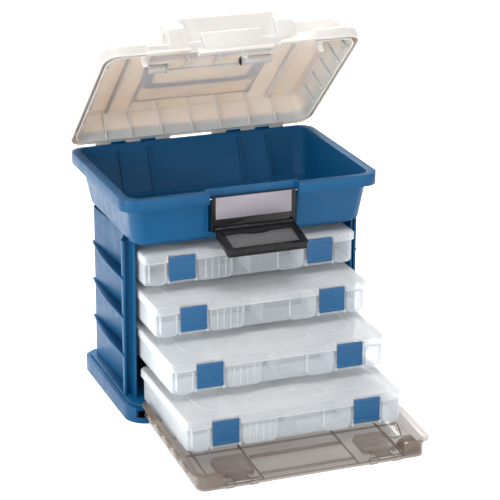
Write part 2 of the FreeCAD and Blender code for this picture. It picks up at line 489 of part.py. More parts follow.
def lid():
    """Lid modelled closed about its hinge axis: front towards -Y, crown towards +Z."""
    rim, wall = RIM_HALF, "lid_wall"
    rear, front = "(hinge_back - rim_back)", LID_FRONT
    foot_top = "(lid_crown - 8)"
    panel_face = f"({RAISED_FRONT} - panel_set)"
    catch_face = f"({CATCH_FRONT} - catch_set)"

    def level(inset, z, radius):
        return (f"-({rim} - ({inset}))", f"{rim} - ({inset})", f"-({front} - ({inset}))",
                f"-({rear} + ({inset}))", z, radius)

    def crown(name, inset, sink):
        shoulder = "lid_step + lid_shoulder_in"
        return loft(name, level(f"lid_step + {inset}", f"{RIM_PLANE} - {sink}",
                                f"lid_radius - {inset}"),
                    level(f"{shoulder} + {inset}", f"lid_shoulder - {inset}",
                          f"lid_radius - 4 - {inset}"),
                    level(f"{shoulder} + lid_crown_in + {inset}", f"lid_crown - {inset}",
                          f"lid_radius - 7 - {inset}"))

    def hump(name, inset, y_rear, y_front, top):
        side, draft = f"raised_reach - ({inset})", "raised_draft"
        return loft(name, (f"-({side})", side, f"-({y_front})", f"-({y_rear})", foot_top,
                           "raised_turn"),
                    (f"-({side} - {draft})", f"{side} - {draft}", f"-({y_front} - {draft})",
                     f"-({y_rear} + {draft})", top, "raised_turn"))

    band = slab("lid_band_body", *level(0, 0, 0)[:4], RIM_PLANE, "lid_band", "lid_radius")
    band_gaps = [block("band_gap", "-band_gap_left", "band_gap_right", f"-{front} - 1",
                       f"-{front} + lid_step", "lid_lip", "lid_band + 1"),
                 block("lip_gap", "-pilaster_in", "pilaster_in", f"-{front} - 1",
                       f"-{front} + lid_step", f"{RIM_PLANE} - 1", "lid_lip + 1")]
    foot = slab("raised_foot", "-raised_reach", "raised_reach", f"-{RAISED_FRONT}",
                f"-{RAISED_FRONT} + 40", "lid_lip", f"{foot_top} + 0.5", "raised_turn")
    recess = block("centre_recess", "-pilaster_in", "pilaster_in", f"-{RAISED_FRONT} - 1",
                   f"-{panel_face}", RIM_PLANE, "raised_top + 1")
    raised = cut("raised_front_set", join(
        "raised_stock", foot, hump("raised_body", 0, "raised_rear", RAISED_FRONT, "raised_top")),
        recess)
    catch = block("catch_stock", "-catch_left", "catch_right", f"-{catch_face}", f"-{CATCH_BACK}",
                  RIM_PLANE, "catch_top")
    outer = join("lid_outer", cut("lid_band_gapped", band, *band_gaps),
                 crown("lid_crown_body", 0, 0), raised, catch)
    band_void = cut("band_void", slab("band_void_stock", *level(wall, 0, 0)[:4],
                                      f"{RIM_PLANE} - 1", f"lid_band - {wall}",
                                      f"lid_radius - {wall}"),
                    crown("band_void_core", 0, "2"),
                    block("band_void_gap", f"-band_gap_left - {wall}",
                          f"band_gap_right + {wall}", f"-{front} - 1",
                          f"-{front} + lid_step + {wall}", f"{RIM_PLANE} - 2", "lid_band"))
    voids = [crown("crown_void", wall, "1"),
             hump("raised_void_rear", wall, f"raised_rear + {wall}", f"bay_rear - {wall}",
                  f"raised_top - {wall}"),
             hump("raised_void_front", wall, f"bay_front + {wall}", f"{panel_face} - {wall}",
                  f"raised_top - {wall}"),
             block("foot_void", f"-raised_reach + {wall}", f"raised_reach - {wall}",
                   f"-{panel_face} + {wall}", f"-{RAISED_FRONT} + 40", f"{RIM_PLANE} - 1", foot_top),
             block("catch_void", f"-catch_left + {wall}", f"catch_right - {wall}",
                   f"-{catch_face} + {wall}", f"-{CATCH_BACK} + 1", f"{RIM_PLANE} - 1",
                   f"catch_top - {wall}"),
             slab("handle_bay", "-bay_reach", "bay_reach", "-bay_front", "-bay_rear",
                  "lid_crown", "raised_top + 1", 6)]
    voids += both_sides("pilaster_void", block, f"pilaster_in + {wall}", f"raised_reach - {wall}",
                        f"-{RAISED_FRONT} + {wall}", f"-{panel_face} + {wall} + 1",
                        f"{RIM_PLANE} - 1", foot_top)
    shell = cut("lid_shell", outer, band_void, *voids)

    drop = f"({RIM_PLANE} - catch_drop)"
    extras = [block("catch_bar", "-catch_bar_reach", "catch_bar_reach", f"-{catch_face}",
                    f"-{panel_face} + {wall}", drop, "lid_lip"),
              block("catch_lip_bar", "-catch_bar_reach", "catch_bar_reach", f"-{CATCH_FRONT}",
                    f"-{catch_face} + 0.5", drop, f"{drop} + catch_lip")]
    wall_in = f"-{panel_face} + {wall}"
    for step, x in enumerate(LID_TAB_PLACES):
        extras.append(block(f"lid_tab_{step}", f"{x} - tab_reach", f"{x} + tab_reach",
                            f"{wall_in} + tab_set - {wall}", f"{wall_in} + tab_set",
                            f"{RIM_PLANE} - tab_drop", "tab_drop"))
        extras.append(block(f"lid_tab_root_{step}", f"{x} - tab_reach", f"{x} + tab_reach",
                            f"{wall_in} - 1", f"{wall_in} + tab_set", f"{RIM_PLANE} + 1",
                            "tab_drop"))
    rib_stock = join("lid_rib_stock", *[
        block(f"lid_rib_{step}", f"{x} - lid_rib_thick / 2", f"{x} + lid_rib_thick / 2",
              f"-{rear} - lid_shoulder", f"-{rear} - lid_step", f"{RIM_PLANE} + 1", "raised_top")
        for step, x in enumerate(LID_RIB_PLACES)])
    trim, inside = "lid_wall + lid_rib_depth", "lid_wall / 2"
    ribs = cut("lid_ribs", rib_stock, crown("rib_trim_low", trim, "1"),
               hump("rib_trim_high", trim, f"raised_rear + {trim}", f"{RAISED_FRONT} - 20",
                    f"raised_top + {wall}"))
    ribs = shared("lid_ribs_in", ribs, join(
        "rib_room", crown("rib_room_low", inside, "0"),
        hump("rib_room_high", inside, f"raised_rear + {inside}", f"{RAISED_FRONT} - 20",
             f"raised_top - {inside}")))
    reliefs, knuckles, holes = [], [], []
    for step, (owner, x0, x1) in enumerate(knuckle_spans()):
        if owner == "tray":
            reliefs += both_sides(f"lid_relief_{step}", rod, f"{x0} - side_gap / 2",
                                  f"{x1} + side_gap / 2", 0, 0, "knuckle_radius + knuckle_gap")
        else:
            knuckles += both_sides(f"lid_knuckle_{step}", rod, x0, x1, 0, 0, "knuckle_radius")
            holes += both_sides(f"lid_bore_{step}", rod, f"{x0} - 1", f"{x1} + 1", 0, 0,
                                "hinge_pin + running_gap")
    holes += both_sides("handle_bore", rod, "bay_reach - 1", "handle_pin_end + running_gap",
                        "-handle_u", "handle_w", "handle_pin + running_gap")
    relieved = cut("lid_relieved", join("lid_ribbed", shell, ribs, *extras), *reliefs)
    whole = cut("lid_whole", join("lid_hinged", relieved, *knuckles), *holes)
    return turned(whole, 0, "hinge_back", HINGE_Z, -1, "lid_open")


def on_lid(u, w):
    """World Y and Z of a point of the opened lid, u forward of the hinge and w above it."""
    sine, cosine = "sin(lid_open * 1 deg)", "cos(lid_open * 1 deg)"
    return (f"hinge_back - ({u}) * {cosine} + ({w}) * {sine}",
            f"{HINGE_Z} + ({u}) * {sine} + ({w}) * {cosine}")


def lid_hinge_pins():
    last = knuckle_spans()[-1][2]
    return join("hinge_pin_pair", *both_sides("hinge_pin_rod", rod, "knuckle_start", last,
                                              "hinge_back", HINGE_Z, "hinge_pin"))


def handle():
    """Bail handle modelled folded back, about its pivot axis."""
    top = "handle_thick - handle_low"
    bail = cut("handle_bail",
               slab("bail_body", "-handle_reach", "handle_reach", -30, "handle_end",
                    "-handle_low", top, 14),
               slab("bail_window", "-handle_reach + handle_leg", "handle_reach - handle_leg", -40,
                    "handle_end - handle_grip", "-handle_low - 1", f"{top} + 1", 10),
               block("bail_front", "-handle_reach - 1", "handle_reach + 1", -31, 0,
                     "-handle_low - 1", f"{top} + 1"))
    eyes = both_sides("handle_eye", rod, "handle_reach - handle_leg", "handle_reach", 0, 0,
                      "handle_boss")
    bores = both_sides("handle_hole", rod, "handle_reach - handle_leg - 1", "handle_reach + 1",
                       0, 0, "handle_pin + running_gap")
    whole = cut("handle_whole", join("handle_stock", bail, *eyes), *bores)
    return turned(whole, 0, *on_lid("handle_u", "handle_w"), -1, "lid_open")


def handle_pins():
    return join("handle_pin_pair", *both_sides(
        "handle_pin_rod", rod, "handle_reach - handle_leg + 2", "handle_pin_end",
        *on_lid("handle_u", "handle_w"), "handle_pin"))


# ---------------------------------------------------------------- tray latch
def tray_latch_link():
    """Swinging frame that hangs in the notch and carries the lever at its lower edge."""
    back = "-link_front + link_thick"
    frame = block("link_frame", "-link_reach", "link_reach", "-link_front", back, "link_bottom",
                  "link_top")
    window = block("link_window", "-window_reach", "window_reach", "-link_front - 1",
                   f"{back} + 1", "window_low", "window_high")
    slots = both_sides("cheek_slot", block, "lug_reach + 1.4", "lever_reach + side_gap",
                       "-link_front - 1", f"{back} + 1", "link_bottom - 1",
                       "lever_pivot_z + lever_lug + 1.5")
    axis = ("-lever_pivot_y", "lever_pivot_z")
    lugs = both_sides("lever_lug_eye", rod, "lug_reach - lug_width", "lug_reach", *axis,
                      "lever_lug")
    lugs.append(rod("tongue", "-tongue_reach", "tongue_reach", *axis, "lever_lug"))
    bosses = both_sides("link_boss_eye", rod, "link_reach - 5", "link_reach",
                        "-link_front + link_thick / 2", "link_pivot", "link_boss")
    bores = both_sides("link_bore", rod, "link_reach - 6", "link_reach + 1",
                       "-link_front + link_thick / 2", "link_pivot", "small_pin + running_gap")
    bores.append(rod("lever_bore", "-lug_reach - 1", "lug_reach + 1", *axis,
                     "small_pin + running_gap"))
    return cut("link", join("link_stock", cut("link_cut", frame, window, *slots), *lugs, *bosses),
               *bores)


def tray_latch_plate():
    back = "-link_front + link_thick"
    return block("plate", "-window_reach - plate_lap", "window_reach + plate_lap", back,
                 f"{back} + plate_thick", "window_low - plate_lap + 1",
                 "window_high + plate_lap")


def tray_latch_lever():
    """Lever frame about its pivot axis, lying forward; its hook points up at the tip."""
    frame = slab("lever_frame", "-lever_reach", "lever_reach", f"-{LEVER_TIP}", "-lever_start",
                 "-lever_low", "lever_high", 4)
    sides, ends = "lever_reach - lever_rail", "lever_rail - 2"
    opening = slab("lever_opening", f"-({sides})", sides, f"-{LEVER_TIP} + {ends}",
                   f"-lever_start - {ends}", "-lever_low - 1", "lever_high + 1", 3)
    lap = "pane_lap"
    rebate = slab("lever_rebate", f"-({sides} + {lap})", f"{sides} + {lap}",
                  f"-{LEVER_TIP} + {ends} - {lap}", f"-lever_start - {ends} + {lap}",
                  "-lever_low - 1", "-lever_low + pane_thick", 4)
    cheeks = both_sides("lever_cheek", block, "lug_reach + 2", "lever_reach", "-lever_start - 1",
                        0, "-lever_lug", "lever_high")
    eyes = both_sides("lever_eye", rod, "lug_reach + 2", "lever_reach", 0, 0, "lever_lug")
    hook = block("lever_hook", "-hook_reach", "hook_reach", f"-{LEVER_TIP} + hook_set",
                 f"-{LEVER_TIP} + hook_set + hook_width", 0, "lever_high + hook_rise")
    bore = rod("lever_pin_bore", "-lever_reach - 1", "lever_reach + 1", 0, 0,
               "small_pin + running_gap")
    cheeks_bored = join("lever_stock", cut("lever_cut", frame, opening, rebate), *cheeks, *eyes,
                        hook)
    return turned(cut("lever", cheeks_bored, bore), 0, "-lever_pivot_y", "lever_pivot_z", 1,
                  "lever_droop")


def tray_latch_window():
    sides, ends = "lever_reach - lever_rail", "lever_rail - 2"
    lap = "(pane_lap - running_gap)"
    pane = slab("pane", f"-({sides} + {lap})", f"{sides} + {lap}",
                f"-{LEVER_TIP} + {ends} - {lap}", f"-lever_start - {ends} + {lap}",
                "-lever_low", "-lever_low + pane_thick", 4)
    return turned(pane, 0, "-lever_pivot_y", "lever_pivot_z", 1, "lever_droop")


def tray_latch_pins():
    return join("link_pin_pair", *both_sides(
        "link_pin_rod", rod, "link_reach - 5", "notch_reach + cheek_thick",
        "-link_front + link_thick / 2", "link_pivot", "small_pin"))


def lever_pin():
    return rod("lever_pin_rod", "-lever_reach + 0.5", "lever_reach - 0.5", "-lever_pivot_y",
               "lever_pivot_z", "small_pin")


# ---------------------------------------------------------------- utility boxes
# Modelled once about the middle of the front lower edge, front face at Y = 0.
POD_EDGE = "(box_width / 2 - pod_inset)"
PODS = (("corner_left", f"-{POD_EDGE}", f"-{POD_EDGE} + pod_width"),
        ("ribbed", "-84", "-32"), ("middle", "44", "87"),
        ("corner_right", f"{POD_EDGE} - pod_width", POD_EDGE))
LATCH_SIDES = (("left", f"-{LATCH_CENTRE}"), ("right", LATCH_CENTRE))
BOX_SPANS = (("tray", 60), ("lid", 91), ("tray", 122))
BOX_KNUCKLE_WIDTH = 30
BOX_PIN_END = BOX_SPANS[-1][1] + BOX_KNUCKLE_WIDTH


def box_tray():
    side = "(box_width / 2 - side_inset)"
    back, top = "(box_depth - rear_inset)", "(box_height - lid_plate - rim_play)"
    body = slab("box_body", f"-{side}", side, "front_inset", back, 0, top, "box_radius - 2")
    pods = [block(f"pod_{name}", x0, x1, "pod_front", "front_inset + box_wall", "pod_low",
                  "pod_high") for name, x0, x1 in PODS]
    well = slab("box_well", f"-{side} + box_wall", f"{side} - box_wall", "front_inset + box_wall",
                f"{back} - box_wall", "box_wall", f"{top} + 1", "box_radius - 2 - box_wall")
    wells = [block(f"pod_well_{name}", f"{x0} + box_wall", f"{x1} - box_wall",
                   "pod_front + box_wall", "front_inset + box_wall + 1", "pod_low + box_wall",
                   "pod_high - box_wall") for name, x0, x1 in PODS]
    shell = cut("box_shell", join("box_stock", body, *pods), well, *wells)
    extras, holes = [], []
    pitch = f"(({back} - front_inset - box_wall) / compartment_rows)"
    for row in (1, 2, 3):
        wall_y = f"front_inset + box_wall / 2 + {row} * {pitch}"
        extras.append(block(f"long_wall_{row}", f"-{side} + box_wall / 2",
                            f"{side} - box_wall / 2", f"{wall_y} - box_wall / 2",
                            f"{wall_y} + box_wall / 2", "box_wall / 2", "divider_height"))
    for name, centre in LATCH_SIDES:
        for edge, sign in (("a", -1), ("b", 1)):
            inner = f"{centre} + {sign} * (latch_width / 2 + 0.4)"
            outer = f"{centre} + {sign} * latch_slot / 2"
            x0, x1 = (outer, inner) if sign < 0 else (inner, outer)
            extras.append(block(f"latch_ear_{name}_{edge}", x0, x1, "pod_front",
                                "front_inset + box_wall / 2", "pod_low", "latch_pivot + 4"))
        holes.append(rod(f"ear_bore_{name}", f"{centre} - latch_slot / 2 - 1",
                         f"{centre} + latch_slot / 2 + 1", "latch_face + latch_knuckle + 0.1",
                         "latch_pivot", "latch_trunnion + running_gap"))
    for owner, start in BOX_SPANS:
        if owner == "tray":
            end = start + BOX_KNUCKLE_WIDTH
            axis = ("box_hinge_y", "box_hinge_z")
            extras += both_sides(f"box_eye_{start}", rod, start, end, *axis, "box_knuckle")
            extras += both_sides(f"box_arm_{start}", block, start, end,
                                 f"{back} - box_wall / 2", "box_hinge_y",
                                 "box_hinge_z - box_knuckle", "box_hinge_z + box_knuckle / 2")
            holes += both_sides(f"box_bore_{start}", rod, start - 1, end + 1, *axis,
                                "box_pin + running_gap")
    return cut("box_tray_shape", join("box_full", shell, *extras), *holes)


def box_lid():
    side = "(box_width / 2)"
    low = "(box_height - skirt_height)"
    cover = slab("cover_body", f"-{side}", side, 0, "box_depth", low, "box_height", "box_radius")
    void = slab("cover_void", f"-{side} + skirt_wall", f"{side} - skirt_wall", "skirt_wall",
                "box_depth + 20", f"{low} - 1", "box_height - lid_plate",
                "box_radius - skirt_wall")
    stocks, slots = [], []
    for name, centre in LATCH_SIDES:
        reach = "latch_slot / 2"
        stocks.append(block(f"slot_wall_{name}", f"{centre} - {reach} - skirt_wall",
                            f"{centre} + {reach} + skirt_wall", 0.5, "slot_depth + skirt_wall",
                            low, "box_height - lid_plate / 2"))
        slots.append(block(f"latch_slot_{name}", f"{centre} - {reach}", f"{centre} + {reach}",
                           -1, "slot_depth", f"{low} - 1", "box_height + 1"))
    shell = cut("cover_shell", join("cover_stock", cut("cover_hollow", cover, void), *stocks),
                *slots)
    extras, holes = [], []
    for owner, start in BOX_SPANS:
        if owner == "lid":
            end = start + BOX_KNUCKLE_WIDTH
            axis = ("box_hinge_y", "box_hinge_z")
            extras += both_sides(f"cover_eye_{start}", rod, start, end, *axis, "box_knuckle")
            extras += both_sides(f"cover_web_{start}", block, start, end,
                                 "box_hinge_y - box_knuckle / 2", "box_hinge_y + box_knuckle",
                                 "box_hinge_z", "box_height - lid_plate / 2")
            holes += both_sides(f"cover_bore_{start}", rod, start - 1, end + 1, *axis,
                                "box_pin + running_gap")
    return cut("box_lid_shape", join("cover_full", shell, *extras), *holes)


def box_latch(name, centre):
    """Flap with moulded trunnions; it swings forward about its lower edge."""
    half, axis_y = "latch_width / 2", "latch_face + latch_knuckle + 0.1"
    flap = block(f"flap_{name}", f"{centre} - {half}", f"{centre} + {half}", "latch_face",
                 "latch_face + latch_thick", "latch_pivot", "latch_top")
    knuckle = rod(f"flap_knuckle_{name}", f"{centre} - {half}", f"{centre} + {half}", axis_y,
                  "latch_pivot", "latch_knuckle")
    trunnions = rod(f"flap_trunnion_{name}", f"{centre} - latch_slot / 2 + 0.5",
                    f"{centre} + latch_slot / 2 - 0.5", axis_y, "latch_pivot", "latch_trunnion")
    return join(f"flap_shape_{name}", flap, knuckle, trunnions)


def box_dividers():
    """Loose cross plates that stand between the long walls."""
    back = "(box_depth - rear_inset)"
    pitch = f"(({back} - front_inset - box_wall) / compartment_rows)"
    plates = []
    for row in range(4):
        for column, x in enumerate((-88, 0, 88)):
            start = f"front_inset + box_wall / 2 + {row} * {pitch} + box_wall / 2 + divider_play"
            plates.append(block(f"divider_{row}_{column}", f"{x} - divider_thick / 2",
                                f"{x} + divider_thick / 2", start,
                                f"{start} + {pitch} - box_wall - 2 * divider_play", "box_wall",
                                "divider_height - 1"))
    group = doc.addObject("Part::Compound", "divider_set")
    group.Links = plates
    return group


def box_copies(part_name, source):
    """One placed copy of a box part for each of the four boxes, the top box first."""
    for number in (1, 2, 3, 4):
        copy = doc.addObject("Part::Compound", f"copy_{number}_{part_name}")
        copy.Links = [source]
        place(copy, 0, f"-box_home - box_out_{number}",
              f"{DECK_TOP} + (4 - {number}) * {BAY_PITCH} + box_lift")
        piece(f"box_{number}_{part_name}", copy)


# ---------------------------------------------------------------- front door
def front_door():
    """Clear tub door lying open, modelled flat about its hinge axis."""
    reach, far = f"({BAY} + door_out)", "door_length"
    shell = cut("door_shell",
                join("door_stock",
                     slab("door_body", f"-{reach}", reach, f"-{far}", "-door_start", "-door_low",
                          "door_high", "door_radius", 2.5),
                     slab("door_flange_body", f"-{reach} - door_flange", f"{reach} + door_flange",
                          f"-{far} - door_end_flange", -14, "door_high - door_wall", "door_high",
                          "door_radius + 4", 6)),
                slab("door_void", f"-{reach} + door_wall", f"{reach} - door_wall",
                     f"-{far} + door_wall", "-door_start - door_wall", "-door_low + door_wall",
                     "door_high + 1", "door_radius - door_wall", 2))
    gate = block("door_gate_cut", "-door_gate", "door_gate", f"-{far} - door_end_flange - 1",
                 f"-{far} + door_wall + 2", "door_sill", "door_high + 1")
    heel = block("door_heel_cut", f"-{reach} + door_wall", f"{reach} - door_wall", -15, 1,
                 "door_heel", "door_high + 1")
    knuckles, bores = [], []
    for step, start in enumerate(("ear_near - side_gap - door_knuckle_width",
                                  "ear_near + ear_width + side_gap")):
        end = f"{start} + door_knuckle_width"
        knuckles += both_sides(f"door_eye_{step}", rod, start, end, 0, 0, "door_knuckle")
        knuckles += both_sides(f"door_arm_{step}", block, start, end, "-door_start - 1", 0,
                               "-door_low", 0)
        bores += both_sides(f"door_bore_{step}", rod, f"{start} - 1", f"{end} + 1", 0, 0,
                            "door_pin + running_gap")
    inner, outer = "clasp_centre - clasp_span / 2", "clasp_centre + clasp_span / 2"
    spread = "(clasp_neck / 2 + clasp_gap)"
    for step, (x0, x1) in enumerate(((inner, f"clasp_centre - {spread}"),
                                     (f"clasp_centre + {spread}", outer))):
        knuckles += both_sides(f"clasp_eye_{step}", rod, x0, x1, "-clasp_axis_y", "clasp_axis_z",
                               "clasp_knuckle")
        knuckles += both_sides(f"clasp_arm_{step}", block, x0, x1, "-clasp_axis_y",
                               f"-{far} + door_wall + 1", "-door_low", "clasp_axis_z - 2")
        bores += both_sides(f"clasp_bore_{step}", rod, f"{x0} - 1", f"{x1} + 1", "-clasp_axis_y",
                            "clasp_axis_z", "clasp_pin + running_gap")
    whole = cut("door_whole", join("door_knuckled", cut("door_gated", shell, gate, heel),
                                   *knuckles), *bores)
    return turned(whole, 0, "-door_axis_y", "door_axis_z", 1, "door_tilt")


def on_door(y, z):
    """World Y and Z of a point of the door, y and z measured about its hinge axis."""
    sine, cosine = "sin(door_tilt * 1 deg)", "cos(door_tilt * 1 deg)"
    return (f"-door_axis_y + ({y}) * {cosine} - ({z}) * {sine}",
            f"door_axis_z + ({y}) * {sine} + ({z}) * {cosine}")


def door_hinge_pins():
    return join("door_pin_pair", *both_sides(
        "door_pin_rod", rod, "ear_near - side_gap - door_knuckle_width",
        "ear_near + ear_width + side_gap + door_knuckle_width", "-door_axis_y", "door_axis_z",
        "door_pin"))


def door_latch(name, sign):
    """Clasp about its barrel axis, folded inwards over the door floor."""
    centre = f"{sign} * clasp_centre"
    low, high = "-clasp_thick / 2", "clasp_thick / 2"
    plate = slab(f"clasp_plate_{name}", f"{centre} - clasp_width / 2",
                 f"{centre} + clasp_width / 2", "clasp_length - clasp_plate", "clasp_length",
                 low, high, 6)
    neck = block(f"clasp_neck_{name}", f"{centre} - clasp_neck / 2", f"{centre} + clasp_neck / 2",
                 0, "clasp_length - clasp_plate + 1", low, high)
    barrel = rod(f"clasp_barrel_{name}", f"{centre} - clasp_neck / 2",
                 f"{centre} + clasp_neck / 2", 0, 0, "clasp_knuckle")
    bore = rod(f"clasp_hole_{name}", f"{centre} - clasp_neck", f"{centre} + clasp_neck", 0, 0,
               "clasp_pin + running_gap")
    whole = cut(f"clasp_{name}", join(f"clasp_stock_{name}", plate, neck, barrel), bore)
    return turned(whole, 0, *on_door("-clasp_axis_y", "clasp_axis_z"), 1, "door_tilt")


def door_latch_pins():
    return join("clasp_pin_pair", *both_sides(
        "clasp_pin_rod", rod, "clasp_centre - clasp_span / 2", "clasp_centre + clasp_span / 2",
        *on_door("-clasp_axis_y", "clasp_axis_z"), "clasp_pin"))


# ---------------------------------------------------------------- assembly
piece("base_plinth", base_plinth())
piece("base_deck", base_deck())
right_panel = piece("side_panel_right", side_panel())
piece("side_panel_left", mirrored("panel_mirror", right_panel))
right_fins = piece("side_fins_right", side_fins())
piece("side_fins_left", mirrored("fin_mirror", right_fins))
right_rails = piece("shelf_rails_right", shelf_rails())
piece("shelf_rails_left", mirrored("rail_mirror", right_rails))
piece("back_panel", back_panel())
piece("top_tray", top_tray())
piece("lid", lid())
piece("lid_hinge_pins", lid_hinge_pins())
piece("handle", handle())
piece("handle_pins", handle_pins())
piece("tray_latch_link", tray_latch_link())
piece("tray_latch_plate", tray_latch_plate())
piece("tray_latch_lever", tray_latch_lever())
piece("tray_latch_window", tray_latch_window())
piece("tray_latch_pins", tray_latch_pins())
piece("lever_pin", lever_pin())
piece("front_door", front_door())
piece("door_hinge_pins", door_hinge_pins())
piece("door_latch_left", door_latch("left", -1))
piece("door_latch_right", door_latch("right", 1))
piece("door_latch_pins", door_latch_pins())
box_copies("tray", box_tray())
box_copies("lid", box_lid())
for side_name, side_centre in LATCH_SIDES:
    box_copies(f"latch_{side_name}", box_latch(side_name, side_centre))
box_copies("dividers", box_dividers())
box_copies("hinge_pin", rod("cover_pin", -BOX_PIN_END, BOX_PIN_END,
                               "box_hinge_y", "box_hinge_z", "box_pin"))

doc.recompute()
failed = [thing.Name for thing in doc.Objects if {"Invalid", "Error"} & set(thing.State)]
if failed:
    raise RuntimeError("these did not build: " + ", ".join(failed))
for thing in PIECES:
    if thing.Shape.isNull() or not thing.Shape.isValid():
        raise RuntimeError(f"{thing.Label} has no valid shape")

os.makedirs("parts", exist_ok=True)
for thing in PIECES:
    thing.Shape.exportStep(f"parts/{thing.Label}.step")
    print(thing.Label, len(thing.Shape.Solids), round(thing.Shape.Volume / 1000, 2), "cm3")
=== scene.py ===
import bpy
from math import cos, radians, sin
from mathutils import Matrix, Vector


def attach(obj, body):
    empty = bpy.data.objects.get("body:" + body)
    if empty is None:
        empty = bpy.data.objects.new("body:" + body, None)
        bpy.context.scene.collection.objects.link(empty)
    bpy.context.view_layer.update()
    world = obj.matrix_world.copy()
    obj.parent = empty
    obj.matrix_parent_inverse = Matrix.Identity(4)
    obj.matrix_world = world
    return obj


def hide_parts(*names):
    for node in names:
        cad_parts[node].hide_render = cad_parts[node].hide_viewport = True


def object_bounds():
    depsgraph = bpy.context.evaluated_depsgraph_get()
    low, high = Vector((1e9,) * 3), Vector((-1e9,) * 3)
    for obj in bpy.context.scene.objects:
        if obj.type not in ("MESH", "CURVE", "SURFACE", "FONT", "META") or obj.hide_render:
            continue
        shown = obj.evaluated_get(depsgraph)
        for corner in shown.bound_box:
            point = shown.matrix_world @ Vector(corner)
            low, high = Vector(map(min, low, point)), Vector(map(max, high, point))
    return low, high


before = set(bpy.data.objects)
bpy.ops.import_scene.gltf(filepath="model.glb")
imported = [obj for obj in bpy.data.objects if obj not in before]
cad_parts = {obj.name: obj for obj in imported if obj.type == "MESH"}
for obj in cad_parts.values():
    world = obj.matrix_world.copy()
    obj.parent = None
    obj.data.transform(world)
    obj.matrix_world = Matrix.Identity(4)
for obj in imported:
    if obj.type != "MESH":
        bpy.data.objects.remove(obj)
cad_low, cad_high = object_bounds()

# ---------------------------------------------------------------- camera
# A long lens a little above the rim of the tray, standing off to the front left of the
# cabinet, level but for a third of a degree.
azimuth, elevation, roll = radians(21.045), radians(19.826), radians(0.332)
stand = Vector((-1.0780, -2.9154, 1.3461))
forward = Vector((sin(azimuth) * cos(elevation), cos(azimuth) * cos(elevation), -sin(elevation)))
level_right = Vector((cos(azimuth), -sin(azimuth), 0))
level_up = level_right.cross(forward)
right = cos(roll) * level_right + sin(roll) * level_up
up = cos(roll) * level_up - sin(roll) * level_right
bpy.ops.object.camera_add(location=stand)
camera = bpy.context.object
camera.name = "camera"
camera.matrix_world = Matrix((
    (right.x, up.x, -forward.x, stand.x), (right.y, up.y, -forward.y, stand.y),
    (right.z, up.z, -forward.z, stand.z), (0, 0, 0, 1)))
camera.data.sensor_width = 36
camera.data.lens = 146.1
camera.data.clip_end = 50
bpy.context.scene.camera = camera
bpy.context.scene.view_settings.view_transform = "Standard"


# ---------------------------------------------------------------- floor and light
# Seamless white paper under and behind the cabinet, lit by four soft boxes and an even
# pale surround. What looks straight at the paper or the surround sees it a step whiter.
def seen_directly(nodes, links, hidden, shown):
    path = nodes.new("ShaderNodeLightPath")
    gloss = nodes.new("ShaderNodeMath")
    gloss.operation = "MAXIMUM"
    glass = nodes.new("ShaderNodeMath")
    glass.operation = "MAXIMUM"
    level = nodes.new("ShaderNodeMapRange")
    level.inputs["To Min"].default_value = hidden
    level.inputs["To Max"].default_value = shown
    links.new(path.outputs["Is Camera Ray"], gloss.inputs[0])
    links.new(path.outputs["Is Glossy Ray"], gloss.inputs[1])
    links.new(gloss.outputs[0], glass.inputs[0])
    links.new(path.outputs["Is Transmission Ray"], glass.inputs[1])
    links.new(glass.outputs[0], level.inputs["Value"])
    return level.outputs["Result"]


bpy.ops.mesh.primitive_plane_add(size=40, location=(0, 0, min(cad_low.z, 0) - 0.0002))
floor = bpy.context.object
floor.name = "studio_floor"
paper = bpy.data.materials.new("studio_paper")
paper.use_nodes = True
paper_shader = paper.node_tree.nodes["Principled BSDF"]
paper_shader.inputs["Base Color"].default_value = (0.88, 0.88, 0.88, 1)
paper_shader.inputs["Roughness"].default_value = 0.9
paper_shader.inputs["Specular IOR Level"].default_value = 0.05
paper_shader.inputs["Emission Color"].default_value = (1, 1, 1, 1)
paper.node_tree.links.new(seen_directly(paper.node_tree.nodes, paper.node_tree.links, 0.0, 0.66),
                          paper_shader.inputs["Emission Strength"])
floor.data.materials.append(paper)

world = bpy.data.worlds.new("studio_world")
bpy.context.scene.world = world
world.use_nodes = True
sky = world.node_tree.nodes["Background"]
sky.inputs["Color"].default_value = (1, 1, 1, 1)
world.node_tree.links.new(seen_directly(world.node_tree.nodes, world.node_tree.links, 0.4, 1.0),
                          sky.inputs["Strength"])

for name, spot, size, power in (("side_softbox", (-2.5, -1.2, 0.75), 1.3, 48),
                                ("front_softbox", (1.0, -2.7, 0.7), 1.4, 23),
                                ("top_softbox", (-0.3, -1.5, 3.0), 1.4, 44),
                                ("rim_softbox", (0.2, 1.7, 2.2), 1.4, 100)):
    bpy.ops.object.light_add(type="AREA", location=spot)
    lamp = bpy.context.object
    lamp.name = name
    lamp.data.size = size
    lamp.data.energy = power
    lamp.rotation_euler = (Vector((0, 0, 0.3)) - Vector(spot)).to_track_quat("-Z", "Y").to_euler()


